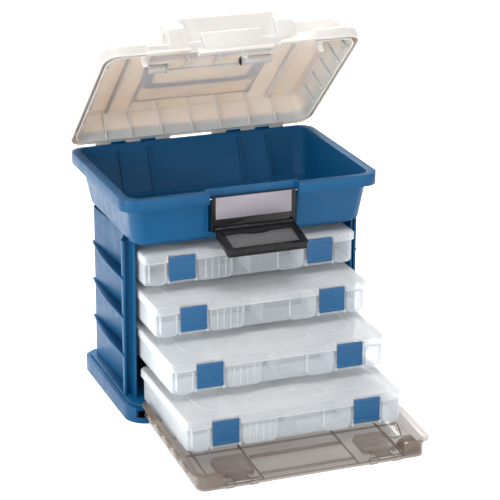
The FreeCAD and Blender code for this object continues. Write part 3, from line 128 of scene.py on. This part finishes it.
# ---------------------------------------------------------------- base
# A shallow injection-moulded tub that the cabinet stands on, closed by a snapped-in deck.
# Both are blue polypropylene with a fine spark-eroded texture.
def moulding_grain():
    """Fine mould texture with faint flow marks: a colour, a roughness and a height."""
    group = bpy.data.node_groups.new("moulding_grain", "ShaderNodeTree")
    for name, kind, way in (("Position", "NodeSocketVector", "INPUT"),
                            ("Plastic", "NodeSocketColor", "INPUT"),
                            ("Flow mark", "NodeSocketColor", "INPUT"),
                            ("Smoothest", "NodeSocketFloat", "INPUT"),
                            ("Roughest", "NodeSocketFloat", "INPUT"),
                            ("Colour", "NodeSocketColor", "OUTPUT"),
                            ("Roughness", "NodeSocketFloat", "OUTPUT"),
                            ("Height", "NodeSocketFloat", "OUTPUT")):
        group.interface.new_socket(name=name, in_out=way, socket_type=kind)
    nodes, links = group.nodes, group.links
    given, made = nodes.new("NodeGroupInput"), nodes.new("NodeGroupOutput")
    spark = nodes.new("ShaderNodeTexNoise")
    spark.inputs["Scale"].default_value = 1500
    spark.inputs["Detail"].default_value = 2
    flow = nodes.new("ShaderNodeTexNoise")
    flow.inputs["Scale"].default_value = 9
    flow.inputs["Detail"].default_value = 3
    flow.inputs["Distortion"].default_value = 0.6
    rub = nodes.new("ShaderNodeTexNoise")
    rub.inputs["Scale"].default_value = 38
    rub.inputs["Detail"].default_value = 4
    for texture in (spark, flow, rub):
        links.new(given.outputs["Position"], texture.inputs["Vector"])
    spread = nodes.new("ShaderNodeMapRange")
    spread.inputs["From Min"].default_value = 0.35
    spread.inputs["From Max"].default_value = 0.7
    links.new(flow.outputs["Fac"], spread.inputs["Value"])
    tint = nodes.new("ShaderNodeMix")
    tint.data_type = "RGBA"
    links.new(spread.outputs["Result"], tint.inputs[0])
    links.new(given.outputs["Plastic"], tint.inputs[6])
    links.new(given.outputs["Flow mark"], tint.inputs[7])
    sheen = nodes.new("ShaderNodeMapRange")
    sheen.inputs["From Min"].default_value = 0.3
    sheen.inputs["From Max"].default_value = 0.7
    links.new(rub.outputs["Fac"], sheen.inputs["Value"])
    links.new(given.outputs["Smoothest"], sheen.inputs["To Min"])
    links.new(given.outputs["Roughest"], sheen.inputs["To Max"])
    links.new(tint.outputs[2], made.inputs["Colour"])
    links.new(sheen.outputs["Result"], made.inputs["Roughness"])
    links.new(spark.outputs["Fac"], made.inputs["Height"])
    return group


grain_group = moulding_grain()


def plastic(name, colour, flow_mark, smoothest, roughest, texture=0.08, seen_through=None,
            specular=0.5):
    """A moulded plastic. seen_through gives the opacity face on and at a grazing angle."""
    paint = bpy.data.materials.new(name)
    paint.use_nodes = True
    nodes, links = paint.node_tree.nodes, paint.node_tree.links
    shader = nodes["Principled BSDF"]
    shader.inputs["IOR"].default_value = 1.49
    shader.inputs["Specular IOR Level"].default_value = specular
    place = nodes.new("ShaderNodeTexCoord")
    grain = nodes.new("ShaderNodeGroup")
    grain.node_tree = grain_group
    grain.inputs["Plastic"].default_value = (*colour, 1)
    grain.inputs["Flow mark"].default_value = (*flow_mark, 1)
    grain.inputs["Smoothest"].default_value = smoothest
    grain.inputs["Roughest"].default_value = roughest
    bump = nodes.new("ShaderNodeBump")
    bump.inputs["Strength"].default_value = texture
    bump.inputs["Distance"].default_value = 0.0004
    links.new(place.outputs["Object"], grain.inputs["Position"])
    links.new(grain.outputs["Colour"], shader.inputs["Base Color"])
    links.new(grain.outputs["Roughness"], shader.inputs["Roughness"])
    links.new(grain.outputs["Height"], bump.inputs["Height"])
    links.new(bump.outputs["Normal"], shader.inputs["Normal"])
    if seen_through:
        grazing = nodes.new("ShaderNodeLayerWeight")
        grazing.inputs["Blend"].default_value = 0.32
        thickness = nodes.new("ShaderNodeMapRange")
        thickness.inputs["To Min"].default_value, thickness.inputs["To Max"].default_value = (
            seen_through)
        links.new(grazing.outputs["Facing"], thickness.inputs["Value"])
        links.new(thickness.outputs["Result"], shader.inputs["Alpha"])
    return paint


def moulding(node, body, paint, edge, rings=2):
    """The solid's own shape as one merged skin, its moulded edges rounded."""
    bpy.ops.object.select_all(action="DESELECT")
    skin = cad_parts[node].data.copy()
    skin.materials.clear()
    skin.materials.append(paint)
    piece = bpy.data.objects.new(node + "_moulding", skin)
    bpy.context.scene.collection.objects.link(piece)
    bpy.context.view_layer.objects.active = piece
    piece.select_set(True)
    bpy.ops.object.mode_set(mode="EDIT")
    bpy.ops.mesh.select_all(action="SELECT")
    bpy.ops.mesh.remove_doubles(threshold=1e-6)
    bpy.ops.mesh.dissolve_limited(angle_limit=radians(1.5))
    bpy.ops.object.mode_set(mode="OBJECT")
    rounding = piece.modifiers.new("rounded_edges", "BEVEL")
    rounding.width = edge
    rounding.segments = rings
    rounding.limit_method = "ANGLE"
    rounding.angle_limit = radians(28)
    bpy.ops.object.modifier_apply(modifier=rounding.name)
    bpy.ops.object.shade_smooth_by_angle(angle=radians(32))
    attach(piece, body)
    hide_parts(node)
    return piece


cabinet_blue = plastic("cabinet_blue", (0.0022, 0.072, 0.18), (0.0028, 0.079, 0.195), 0.36, 0.48,
                       specular=0.2)
moulding("base_plinth", "cabinet", cabinet_blue, 0.0015)
moulding("base_deck", "cabinet", cabinet_blue, 0.0008)

# ---------------------------------------------------------------- side walls, shelves and back
# Each side is one moulding with a rounded front post, a cove behind it, bowed fins at shelf
# height and ledges inside. A flat ribbed sheet closes the back.
for side in ("left", "right"):
    moulding("side_panel_" + side, "cabinet", cabinet_blue, 0.0006)
    moulding("side_fins_" + side, "cabinet", cabinet_blue, 0.0007)
    moulding("shelf_rails_" + side, "cabinet", cabinet_blue, 0.0004)
moulding("back_panel", "cabinet", cabinet_blue, 0.0008)

# ---------------------------------------------------------------- top tray
# A deep flared tub with a hollow rim that the lid closes on, moulded in the cabinet's blue.
# Its front rim is notched for the latch, and hinge knuckles stand on its rear rim.
moulding("top_tray", "cabinet", cabinet_blue, 0.0009)


# ---------------------------------------------------------------- lid
# A stiff off-white shell with a raised middle that houses the handle. It is thin enough to
# let light through. Ribs brace its rear wall, and tabs locate it on the tray.
lid_shell = plastic("lid_shell", (0.60, 0.58, 0.56), (0.575, 0.555, 0.535), 0.38, 0.5)
lid_skin = lid_shell.node_tree.nodes["Principled BSDF"]
lid_skin.inputs["Subsurface Weight"].default_value = 1.0
lid_skin.inputs["Subsurface Radius"].default_value = (1.0, 0.8, 0.62)
lid_skin.inputs["Subsurface Scale"].default_value = 0.008
moulding("lid", "lid", lid_shell, 0.0009)


def pick(piece, kind, wanted):
    """Leave only the edges or faces selected whose corners pass a test, in edit mode."""
    bpy.ops.object.mode_set(mode="EDIT")
    bpy.ops.mesh.select_mode(type=kind)
    bpy.ops.mesh.select_all(action="DESELECT")
    bpy.ops.object.mode_set(mode="OBJECT")
    corners = piece.data.vertices
    for part in piece.data.edges if kind == "EDGE" else piece.data.polygons:
        part.select = wanted([corners[corner].co * 1000 for corner in part.vertices])
    bpy.ops.object.mode_set(mode="EDIT")


def level_at(height):
    """A test for corners that all lie on one level."""
    return lambda corners: all(abs(corner.z - height) < 0.01 for corner in corners)


def block(name, x, y, z, turn=0, brow=0, foot=0, rings=4):
    """A moulded block in millimetres: turned upright edges, softened brow and foot."""
    bpy.ops.object.select_all(action="DESELECT")
    bpy.ops.mesh.primitive_cube_add(
        size=1, location=[sum(span) / 2000 for span in (x, y, z)],
        scale=[(span[1] - span[0]) / 1000 for span in (x, y, z)])
    shape = bpy.context.object
    shape.name = name
    bpy.ops.object.transform_apply(location=True, rotation=True, scale=True)
    for width, test in ((turn, lambda corners: abs(corners[0].z - corners[1].z) > 0.01),
                        (brow, level_at(z[1])), (foot, level_at(z[0]))):
        if width:
            pick(shape, "EDGE", test)
            bpy.ops.mesh.bevel(offset=width / 1000, segments=rings, affect="EDGES")
            bpy.ops.object.mode_set(mode="OBJECT")
    return shape


def finish(piece, name, body, paint):
    """Smooth, name and paint a piece, and fix it to its body."""
    bpy.ops.object.select_all(action="DESELECT")
    bpy.context.view_layer.objects.active = piece
    piece.select_set(True)
    bpy.ops.object.shade_smooth_by_angle(angle=radians(35))
    piece.name = name
    piece.data.materials.clear()
    piece.data.materials.append(paint)
    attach(piece, body)
    return piece


def fuse(base, operation, tools):
    """Weld shapes to a base or cut them from it."""
    for tool in tools:
        weld = base.modifiers.new("weld", "BOOLEAN")
        weld.operation = operation
        weld.object = tool
        bpy.ops.object.select_all(action="DESELECT")
        bpy.context.view_layer.objects.active = base
        base.select_set(True)
        bpy.ops.object.modifier_apply(modifier=weld.name)
        bpy.data.objects.remove(tool)


def hollow(shape, open_at, wall):
    """Open a closed form on one level and give what is left an inward wall."""
    pick(shape, "FACE", level_at(open_at))
    bpy.ops.mesh.delete(type="FACE")
    bpy.ops.object.mode_set(mode="OBJECT")
    skin = shape.modifiers.new("wall", "SOLIDIFY")
    skin.thickness = wall / 1000
    skin.offset = -1
    skin.use_even_offset = True
    bpy.ops.object.modifier_apply(modifier=skin.name)


def gather(name, shapes):
    """Join shapes into one object."""
    bpy.ops.object.select_all(action="DESELECT")
    for shape in shapes:
        shape.select_set(True)
    bpy.context.view_layer.objects.active = shapes[0]
    bpy.ops.object.join()
    shapes[0].name = name
    return shapes[0]


def rod(name, x, y, z, radius):
    """A round bar along X in millimetres, its ends softened."""
    bpy.ops.object.select_all(action="DESELECT")
    bpy.ops.mesh.primitive_cylinder_add(
        vertices=16, radius=radius / 1000, depth=(x[1] - x[0]) / 1000,
        location=(sum(x) / 2000, y / 1000, z / 1000), rotation=(0, radians(90), 0))
    shape = bpy.context.object
    shape.name = name
    bpy.ops.object.transform_apply(location=True, rotation=True, scale=True)
    pick(shape, "EDGE", lambda corners: abs(corners[0].x - corners[1].x) < 0.01)
    bpy.ops.mesh.bevel(offset=0.0003, segments=2, affect="EDGES")
    bpy.ops.object.mode_set(mode="OBJECT")
    return shape


def both(maker, name, x, *rest, **more):
    """The same shape on the right and on the left."""
    return [maker(name + "_right", x, *rest, **more),
            maker(name + "_left", (-x[1], -x[0]), *rest, **more)]


def leaning(shape, wanted, shift):
    """Move the picked corners of a shape, in millimetres, to taper or slope it."""
    pick(shape, "FACE", lambda corners: False)
    bpy.ops.mesh.select_mode(type="VERT")
    bpy.ops.object.mode_set(mode="OBJECT")
    for corner in shape.data.vertices:
        corner.select = wanted(corner.co * 1000)
    bpy.ops.object.mode_set(mode="EDIT")
    bpy.ops.transform.translate(value=[step / 1000 for step in shift])
    bpy.ops.object.mode_set(mode="OBJECT")
    return shape


def hinged(axis, turn):
    """Where a piece drawn round its own hinge axis stands once it is turned by some degrees."""
    return Matrix.Translation(axis) @ Matrix.Rotation(radians(turn), 4, "X")


lid_axis, lid_opening = (0, 0.168, 0.376), -43
on_lid = hinged(lid_axis, lid_opening)
tube_level, tube_radius, ring_radius = 40, 7, 8
thick_rib, thin_rib = 1.3, 1.1
wall_foot, wall_inside, wall_flare = 203.4, 197.4, 8.6
bracing = [block("ceiling_step", (-72, 60), (-152.4, -149.8), (42.2, 46.3), foot=0.7, rings=2)]
for x in (-143, 139):
    bracing.append(block("ceiling_rib", (x - thick_rib, x + thick_rib), (-266, -29), (36.5, 46.5),
                         foot=0.8, rings=2))
for tube, ring, axis in (((-104, -72), (-75, -72), -166), ((53, 105), (53, 56), -168)):
    bracing += [rod("pivot_tube", tube, axis, tube_level, tube_radius),
                rod("tube_ring", ring, axis, tube_level, ring_radius)]
for x in (-40, 12):
    gusset = block("front_gusset", (x - thin_rib, x + thin_rib), (-188, -153), (33, 46.2))
    bracing.append(leaning(gusset, lambda end: end.y > -154 and end.z < 34, (0, 0, 11)))
for side in (-1, 1):
    for y in (-75, -120, -165, -210, -255):
        rib = block("side_rib", sorted((side * wall_inside, side * wall_foot)),
                    (y - thin_rib, y + thin_rib), (0, 34))
        bracing.append(leaning(rib, lambda end: end.z > 33, (-side * wall_flare, 0, 0)))
lid_bracing = gather("lid_bracing", bracing)
lid_bracing.data.transform(on_lid)
finish(lid_bracing, "lid_bracing", "lid", lid_shell)

# ---------------------------------------------------------------- handle
# A black bail moulded in one piece, turning on two steel pins in the lid's recess.
handle_black = plastic("handle_black", (0.028, 0.028, 0.03), (0.035, 0.035, 0.037), 0.32, 0.45)
moulding("handle", "handle", handle_black, 0.0022, rings=3)

# ---------------------------------------------------------------- hinge and latch pins
# Drawn steel wire, pressed through the knuckles and left bare at its ends.
pin_steel = bpy.data.materials.new("pin_steel")
pin_steel.use_nodes = True
wire_nodes, wire_links = pin_steel.node_tree.nodes, pin_steel.node_tree.links
wire_shader = wire_nodes["Principled BSDF"]
wire_shader.inputs["Metallic"].default_value = 1.0
wire_place = wire_nodes.new("ShaderNodeTexCoord")
wire_lines = wire_nodes.new("ShaderNodeMapping")
wire_lines.inputs["Scale"].default_value = (30, 4000, 4000)
wire_draw = wire_nodes.new("ShaderNodeTexNoise")
wire_draw.inputs["Scale"].default_value = 1
wire_tone = wire_nodes.new("ShaderNodeValToRGB")
wire_tone.color_ramp.elements[0].color = (0.32, 0.32, 0.34, 1)
wire_tone.color_ramp.elements[1].color = (0.62, 0.62, 0.64, 1)
wire_gloss = wire_nodes.new("ShaderNodeMapRange")
wire_gloss.inputs["To Min"].default_value = 0.22
wire_gloss.inputs["To Max"].default_value = 0.42
wire_links.new(wire_place.outputs["Object"], wire_lines.inputs["Vector"])
wire_links.new(wire_lines.outputs["Vector"], wire_draw.inputs["Vector"])
wire_links.new(wire_draw.outputs["Fac"], wire_tone.inputs["Fac"])
wire_links.new(wire_draw.outputs["Fac"], wire_gloss.inputs["Value"])
wire_links.new(wire_tone.outputs["Color"], wire_shader.inputs["Base Color"])
wire_links.new(wire_gloss.outputs["Result"], wire_shader.inputs["Roughness"])
for pin in ("lid_hinge_pins", "handle_pins", "tray_latch_pins", "lever_pin", "door_hinge_pins",
            "door_latch_pins", "box_1_hinge_pin", "box_2_hinge_pin", "box_3_hinge_pin",
            "box_4_hinge_pin"):
    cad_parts[pin].data.materials.clear()
    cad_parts[pin].data.materials.append(pin_steel)

# ---------------------------------------------------------------- tray latch
# A black frame hangs in the notch of the tray on two pins, with a satin plate over its window.
# The lever hinged at its foot is a black rim round a smoky pane, with a dark band under the
# pane's free end and a curved bar across its root.
latch_black = plastic("latch_black", (0.008, 0.008, 0.009), (0.012, 0.012, 0.013), 0.16, 0.3,
                      specular=0.22)
latch_plate = plastic("latch_plate", (0.27, 0.245, 0.285), (0.245, 0.22, 0.26), 0.3, 0.42)
lever_smoke = plastic("lever_smoke", (0.17, 0.165, 0.165), (0.145, 0.14, 0.14), 0.2, 0.35,
                      seen_through=(0.5, 0.92))
moulding("tray_latch_link", "tray_latch_link", latch_black, 0.0007)
moulding("tray_latch_lever", "tray_latch_lever", latch_black, 0.0009)
latch_face = block("latch_face", (-63, 63), (-129.85, -123.5), (326.5, 361.6), 0.3, 0.3, 0.3,
                   rings=2)
finish(latch_face, "tray_latch_face", "tray_latch_link", latch_plate)
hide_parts("tray_latch_plate")
lever_axis_y, lever_axis_z, lever_droop = -132, 311, 13.5
link_parts = [rod("link_barrel", (-60, 60), lever_axis_y, lever_axis_z, 3.7)]
link_parts += both(block, "link_back", (60.5, 67.5), (-127.4, -125.4), (306.5, 318))
finish(gather("link_barrel", link_parts), "link_barrel", "tray_latch_link", latch_black)

on_lever = hinged((0, lever_axis_y / 1000, lever_axis_z / 1000), lever_droop)
bulge_reach, bulge_depth, bulge_height = 0.025, 0.0085, 0.009
bpy.ops.object.select_all(action="DESELECT")
bpy.ops.mesh.primitive_cylinder_add(
    vertices=48, radius=1, depth=bulge_height, location=(0, -0.0125, -0.0026),
    scale=(bulge_reach, bulge_depth, 1))
lever_bulge = bpy.context.object
bpy.ops.object.transform_apply(location=True, rotation=True, scale=True)
lever_bulge.data.transform(on_lever)
finish(lever_bulge, "lever_bulge", "tray_latch_lever", latch_black)
pane = block("pane", (-57, 57), (-57.6, -12.5), (-3.2, -1.6), 3)
band = gather("band", [block("band", (-30, 56), (-57.4, -44), (-9.4, -3.4), 2),
                       block("band", (-56, -29.5), (-57.4, -51), (-9.4, -3.4), 2)])
for piece, name, paint, slot in ((pane, "lever_pane", lever_smoke, None),
                                 (band, "lever_band", latch_black, "latch_black")):
    piece.data.transform(on_lever)
    finish(piece, name, "tray_latch_lever", paint)
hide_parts("tray_latch_window")

# ---------------------------------------------------------------- utility boxes
# Clear, slightly milky polypropylene boxes: a ribbed tray with long fixed walls, loose cross
# plates, and a cover with a thickened pattern of moulded lines that stiffens its top.
box_clear = plastic("box_clear", (0.90, 0.95, 0.99), (0.84, 0.90, 0.95), 0.14, 0.24, 0.02,
                    seen_through=(0.10, 0.85))
box_cover = plastic("box_cover", (0.96, 0.975, 0.99), (0.91, 0.935, 0.955), 0.16, 0.28, 0.02,
                    seen_through=(0.12, 0.9))


def moulded_line(name, outline, height, radius, closed=True):
    """A raised round line along an outline of points, lying on a level."""
    bpy.ops.object.select_all(action="DESELECT")
    bpy.ops.curve.primitive_bezier_curve_add()
    line = bpy.context.object
    line.name = name
    bpy.ops.object.mode_set(mode="EDIT")
    bpy.ops.curve.select_all(action="SELECT")
    bpy.ops.curve.delete(type="VERT")
    bpy.ops.object.mode_set(mode="OBJECT")
    run = line.data.splines.new("NURBS")
    run.points.add(len(outline) - 1)
    for point, (x, y) in zip(run.points, outline):
        point.co = (x / 1000, y / 1000, height / 1000, 1)
    run.order_u = 3
    run.use_cyclic_u = closed
    run.use_endpoint_u = not closed
    line.data.bevel_depth = radius / 1000
    line.data.bevel_resolution = 1
    line.data.resolution_u = 6
    line.data.use_fill_caps = True
    bpy.ops.object.convert(target="MESH")
    return bpy.context.object


# A shut box in millimetres, from the foot of its cover's front edge: half widths, ends, levels.
tub_half, tub_front, tub_back, tub_top, tub_wall = 175.4, 6.6, 222, 48.7, 1.8
cover_half, cover_back, cover_foot, cover_top, cover_wall = 177.8, 231.8, 38, 50.8, 1.6
eye_y, eye_z, eye_radius = 226, 44, 2.6
pod_front, pod_turn, pod_brow = 0.8, 9, 1.6
latch_centres = {"left": -115.5, "right": 115.5}
slot_half = 24
line_height, line_half, line_levels = 50.6, 0.7, (50.2, 51.2)
bay_front, bay_pitch, top_bay = 120, 65, 290.3
box_positions = {
    number: Matrix.Translation((0, -(bay_front + pulled_out) / 1000,
                                (top_bay - bay_pitch * number) / 1000))
    for number, pulled_out in ((1, 4), (2, 57), (3, 131), (4, 200))}


def copied(pattern, node, body, place, paint):
    """A copy of a pattern with its own mesh, standing in for a node."""
    piece = bpy.data.objects.new(node, pattern.data.copy())
    bpy.context.scene.collection.objects.link(piece)
    piece.data.transform(place)
    finish(piece, node + "_moulding", body, paint)
    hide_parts(node)


def pod(name, x):
    """A bulge of the front wall, its lower corners turned well round."""
    shape = block(name, x, (pod_front, 12), (1.2, 36.5))
    pick(shape, "EDGE", lambda ends: abs(ends[0].y - ends[1].y) > 1 and ends[0].z < 2)
    bpy.ops.mesh.bevel(offset=pod_turn / 1000, segments=6, affect="EDGES")
    bpy.ops.object.mode_set(mode="OBJECT")
    pick(shape, "EDGE", lambda ends: all(abs(end.y - pod_front) < 0.01 for end in ends))
    bpy.ops.mesh.bevel(offset=pod_brow / 1000, segments=3, affect="EDGES")
    bpy.ops.object.mode_set(mode="OBJECT")
    return shape


def slots(name, depth):
    """Cutters for the two notches that the latches close into."""
    return [block(name, (centre - slot_half, centre + slot_half), (-2, depth), (30, 60))
            for centre in latch_centres.values()]


box_tub = block("box_tub", (-tub_half, tub_half), (tub_front, tub_back), (0, tub_top), 10, foot=2.6)
fuse(box_tub, "UNION", [pod("pod_corner_left", (-170, -141)), pod("pod_ribbed", (-88, -32)),
                        pod("pod_middle", (44, 88)), pod("pod_corner_right", (141, 170))])
hollow(box_tub, tub_top, tub_wall)
box_parts = [box_tub]
for row in (1, 2, 3):
    y = 7.5 + 53.4 * row
    box_parts.append(block("long_wall", (-174, 174), (y - 0.9, y + 0.9), (1, 40), brow=0.5,
                           rings=2))
for centre in latch_centres.values():
    for side in (-1, 1):
        ear = sorted((centre + side * 21.4, centre + side * slot_half))
        box_parts.append(block("latch_ear", ear, (0.8, 7.4), (2, 13), brow=0.8, foot=0.8, rings=2))
for x in (-77, -66, -55, -44):
    box_parts.append(block("pod_rib", (x - 0.9, x + 0.9), (0.3, 1.6), (4, 36), 0.5, rings=2))
for x in ((60, 90), (122, 152)):
    box_parts += both(rod, "tray_eye", x, eye_y, eye_z, eye_radius)
    box_parts += both(block, "tray_arm", x, (221, 226), (41.4, 45.3), brow=0.4, rings=2)
box_tub = gather("box_tub", box_parts)

box_cap = block("box_cap", (-cover_half, cover_half), (0, cover_back), (cover_foot, cover_top), 12,
                brow=4.2, rings=5)
fuse(box_cap, "DIFFERENCE", slots("slot", 4))
hollow(box_cap, cover_foot, cover_wall)
cap_bead = block("cap_bead", (-176.9, 176.9), (0.3, 231), (37.9, 39), 11, rings=3)
bead_core = block("bead_core", (-175, 175), (2.2, 229.2), (37, 40), 9, rings=3)
fuse(cap_bead, "DIFFERENCE", [bead_core] + slots("bead_slot", 5))
cap_parts = [box_cap, cap_bead] + both(rod, "cap_eye", (91, 121), eye_y, eye_z, eye_radius)
cap_parts += both(block, "cap_web", (91, 121), (224.7, 228.6), (44, 49.8), brow=0.4, rings=2)
frame_line = [(-139, 150), (-143, 100), (-144, 75), (-139, 45), (-120, 33), (-90, 31), (0, 33),
              (90, 34), (120, 38), (138, 55), (142, 80), (141, 110), (139, 150), (120, 190),
              (60, 200), (-60, 200), (-120, 190)]
cap_parts.append(moulded_line("frame_line", frame_line, line_height, 0.75))
for name, middle, reach, depth, spacing, radius in (("arch_line", 46, 66, 35, 20, 0.7),
                                                    ("oval_line", 50, 34, 17, 24, 0.55)):
    oval = [(reach * cos(radians(turn)), middle + depth * sin(radians(turn)))
            for turn in range(0, 360, spacing)]
    cap_parts.append(moulded_line(name, oval, line_height, radius))
for step in (0, 1, 2):
    y = 12 + 6 * step
    cap_parts.append(block("front_line", (-58 + 6 * step, 48 - 3 * step),
                           (y - line_half, y + line_half), line_levels, brow=0.4, rings=2))
    for x in (-152 - 6 * step, 152 + 6 * step):
        cap_parts.append(block("corner_line", (x - line_half, x + line_half),
                               (84 - 4 * step, 108 - 4 * step), line_levels, brow=0.4, rings=2))
box_cap = gather("box_cap", cap_parts)
for number, place in box_positions.items():
    box = f"box_{number}"
    copied(box_tub, box + "_tray", box, place, box_clear)
    copied(box_cap, box + "_lid", box + "_lid", place, box_cover)
    moulding(box + "_dividers", box, box_clear, 0.0003)
bpy.data.objects.remove(box_tub)
bpy.data.objects.remove(box_cap)

# ---------------------------------------------------------------- box latches
# Two blue flaps on each box turn on trunnions at the foot of its front and snap over the
# cover. Their faces are ribbed across for grip.
flap_blue = plastic("flap_blue", (0.006, 0.085, 0.215), (0.008, 0.10, 0.24), 0.3, 0.4,
                    specular=0.35)


def flap(name, centre):
    """A flap with its knuckle and trunnions, ribbed across its face."""
    x = (centre - 21, centre + 21)
    axis_y, axis_z = 3.3, 9
    parts = [block(name, x, (0.9, 3.4), (axis_z, 46.5), brow=1.1, rings=3),
             rod("flap_knuckle", x, axis_y, axis_z, 3),
             rod("flap_trunnion", (centre - 23.5, centre + 23.5), axis_y, axis_z, 1.2)]
    rib_pitch, rib_width = 4.3, 2.7
    for rib in range(8):
        foot = 11.5 + rib_pitch * rib
        parts.append(block("flap_rib", x, (0.2, 1.6), (foot, foot + rib_width),
                           brow=0.9, foot=0.5, rings=3))
    return gather(name, parts)


for side, centre in latch_centres.items():
    pattern = flap("flap_" + side, centre)
    for number, place in box_positions.items():
        node = f"box_{number}_latch_{side}"
        copied(pattern, node, node, place, flap_blue)
    bpy.data.objects.remove(pattern)

# ---------------------------------------------------------------- front door
# A shallow tub moulded in clear smoke-tinted plastic, hinged in the base and stiffened by low
# ribs. Two clasps of the same plastic on its free end snap on the tray when it is shut.
door_smoke = plastic("door_smoke", (0.22, 0.165, 0.125), (0.195, 0.145, 0.11), 0.07, 0.14, 0.01,
                     seen_through=(0.2, 0.97))
clasp_smoke = plastic("clasp_smoke", (0.20, 0.15, 0.115), (0.18, 0.13, 0.10), 0.07, 0.14, 0.01,
                      seen_through=(0.08, 0.97))
moulding("front_door", "front_door", door_smoke, 0.0006)
door_axis, door_droop = (0, -0.127, 0.0195), 3.25
on_door = hinged(door_axis, door_droop)
inside_half, sunk, low_rib, rib_half = 181.3, -2, 1.3, 0.8
clasp_y, clasp_z, clasp_radius = -264, 5, 3.3
door_ribs = [block("bright_bar", (-76, 74), (-192.5, -185.5), (sunk, low_rib), brow=1.3),
             block("front_step", (-79, 73), (-243, -240.4), (sunk, 2.2), brow=0.8, rings=2)]
for y in (-158.2, -97.2):
    door_ribs.append(block("rib_across", (-inside_half, inside_half),
                           (y - rib_half, y + rib_half), (sunk, 1.4), brow=0.5, rings=2))
for x in (-157, -80, 74, 149):
    door_ribs.append(block("rib_along", (x - rib_half, x + rib_half), (-258, -97),
                           (sunk, low_rib), brow=0.5, rings=2))
for step in range(5):
    door_ribs.append(block("wing_lug", (-194.6, -189), (-76 - 40 * step, -52 - 40 * step),
                           (16.5, 23.4), 2.4, brow=0.8, foot=0.8, rings=3))
for step in range(4):
    door_ribs.append(block("ramp_step", (149 + 4.5 * step, 181), (-252, -222 + 3 * step),
                           (sunk, 1 + 2.4 * step), 1.5, brow=0.9, rings=2))
for x in ((90, 102.8), (129.2, 142)):
    door_ribs += both(rod, "clasp_barrel", x, clasp_y, clasp_z, clasp_radius)
finger_ledge = [(143, -190), (154, -202), (168, -202), (176, -188), (179, -170), (182.5, -162)]
door_ribs.append(moulded_line("finger_ledge", finger_ledge, 0, 1.3, closed=False))
door_ribs = gather("door_ribs", door_ribs)
door_ribs.data.transform(on_door)
finish(door_ribs, "door_ribs", "front_door", door_smoke)

for side, centre in (("left", -116), ("right", 116)):
    cap = block("clasp_cap", (centre - 26, centre + 26), (-242, -197), (5.9, 13.5), 5, brow=1.8)
    cap.data.transform(on_door)
    fuse(moulding("door_latch_" + side, "door_latch_" + side, clasp_smoke, 0.0008), "UNION", [cap])
    clasp = [rod("clasp_roll", (centre - 12.4, centre + 12.4), clasp_y, clasp_z, clasp_radius)]
    for x in (-20, -16, 16, 20):
        clasp.append(block("clasp_fin", (centre + x - 0.6, centre + x + 0.6), (-256, -242),
                           (6.9, 9.4), brow=0.4, rings=2))
    clasp = gather("clasp_fins_" + side, clasp)
    clasp.data.transform(on_door)
    finish(clasp, "clasp_fins_" + side, "door_latch_" + side, clasp_smoke)
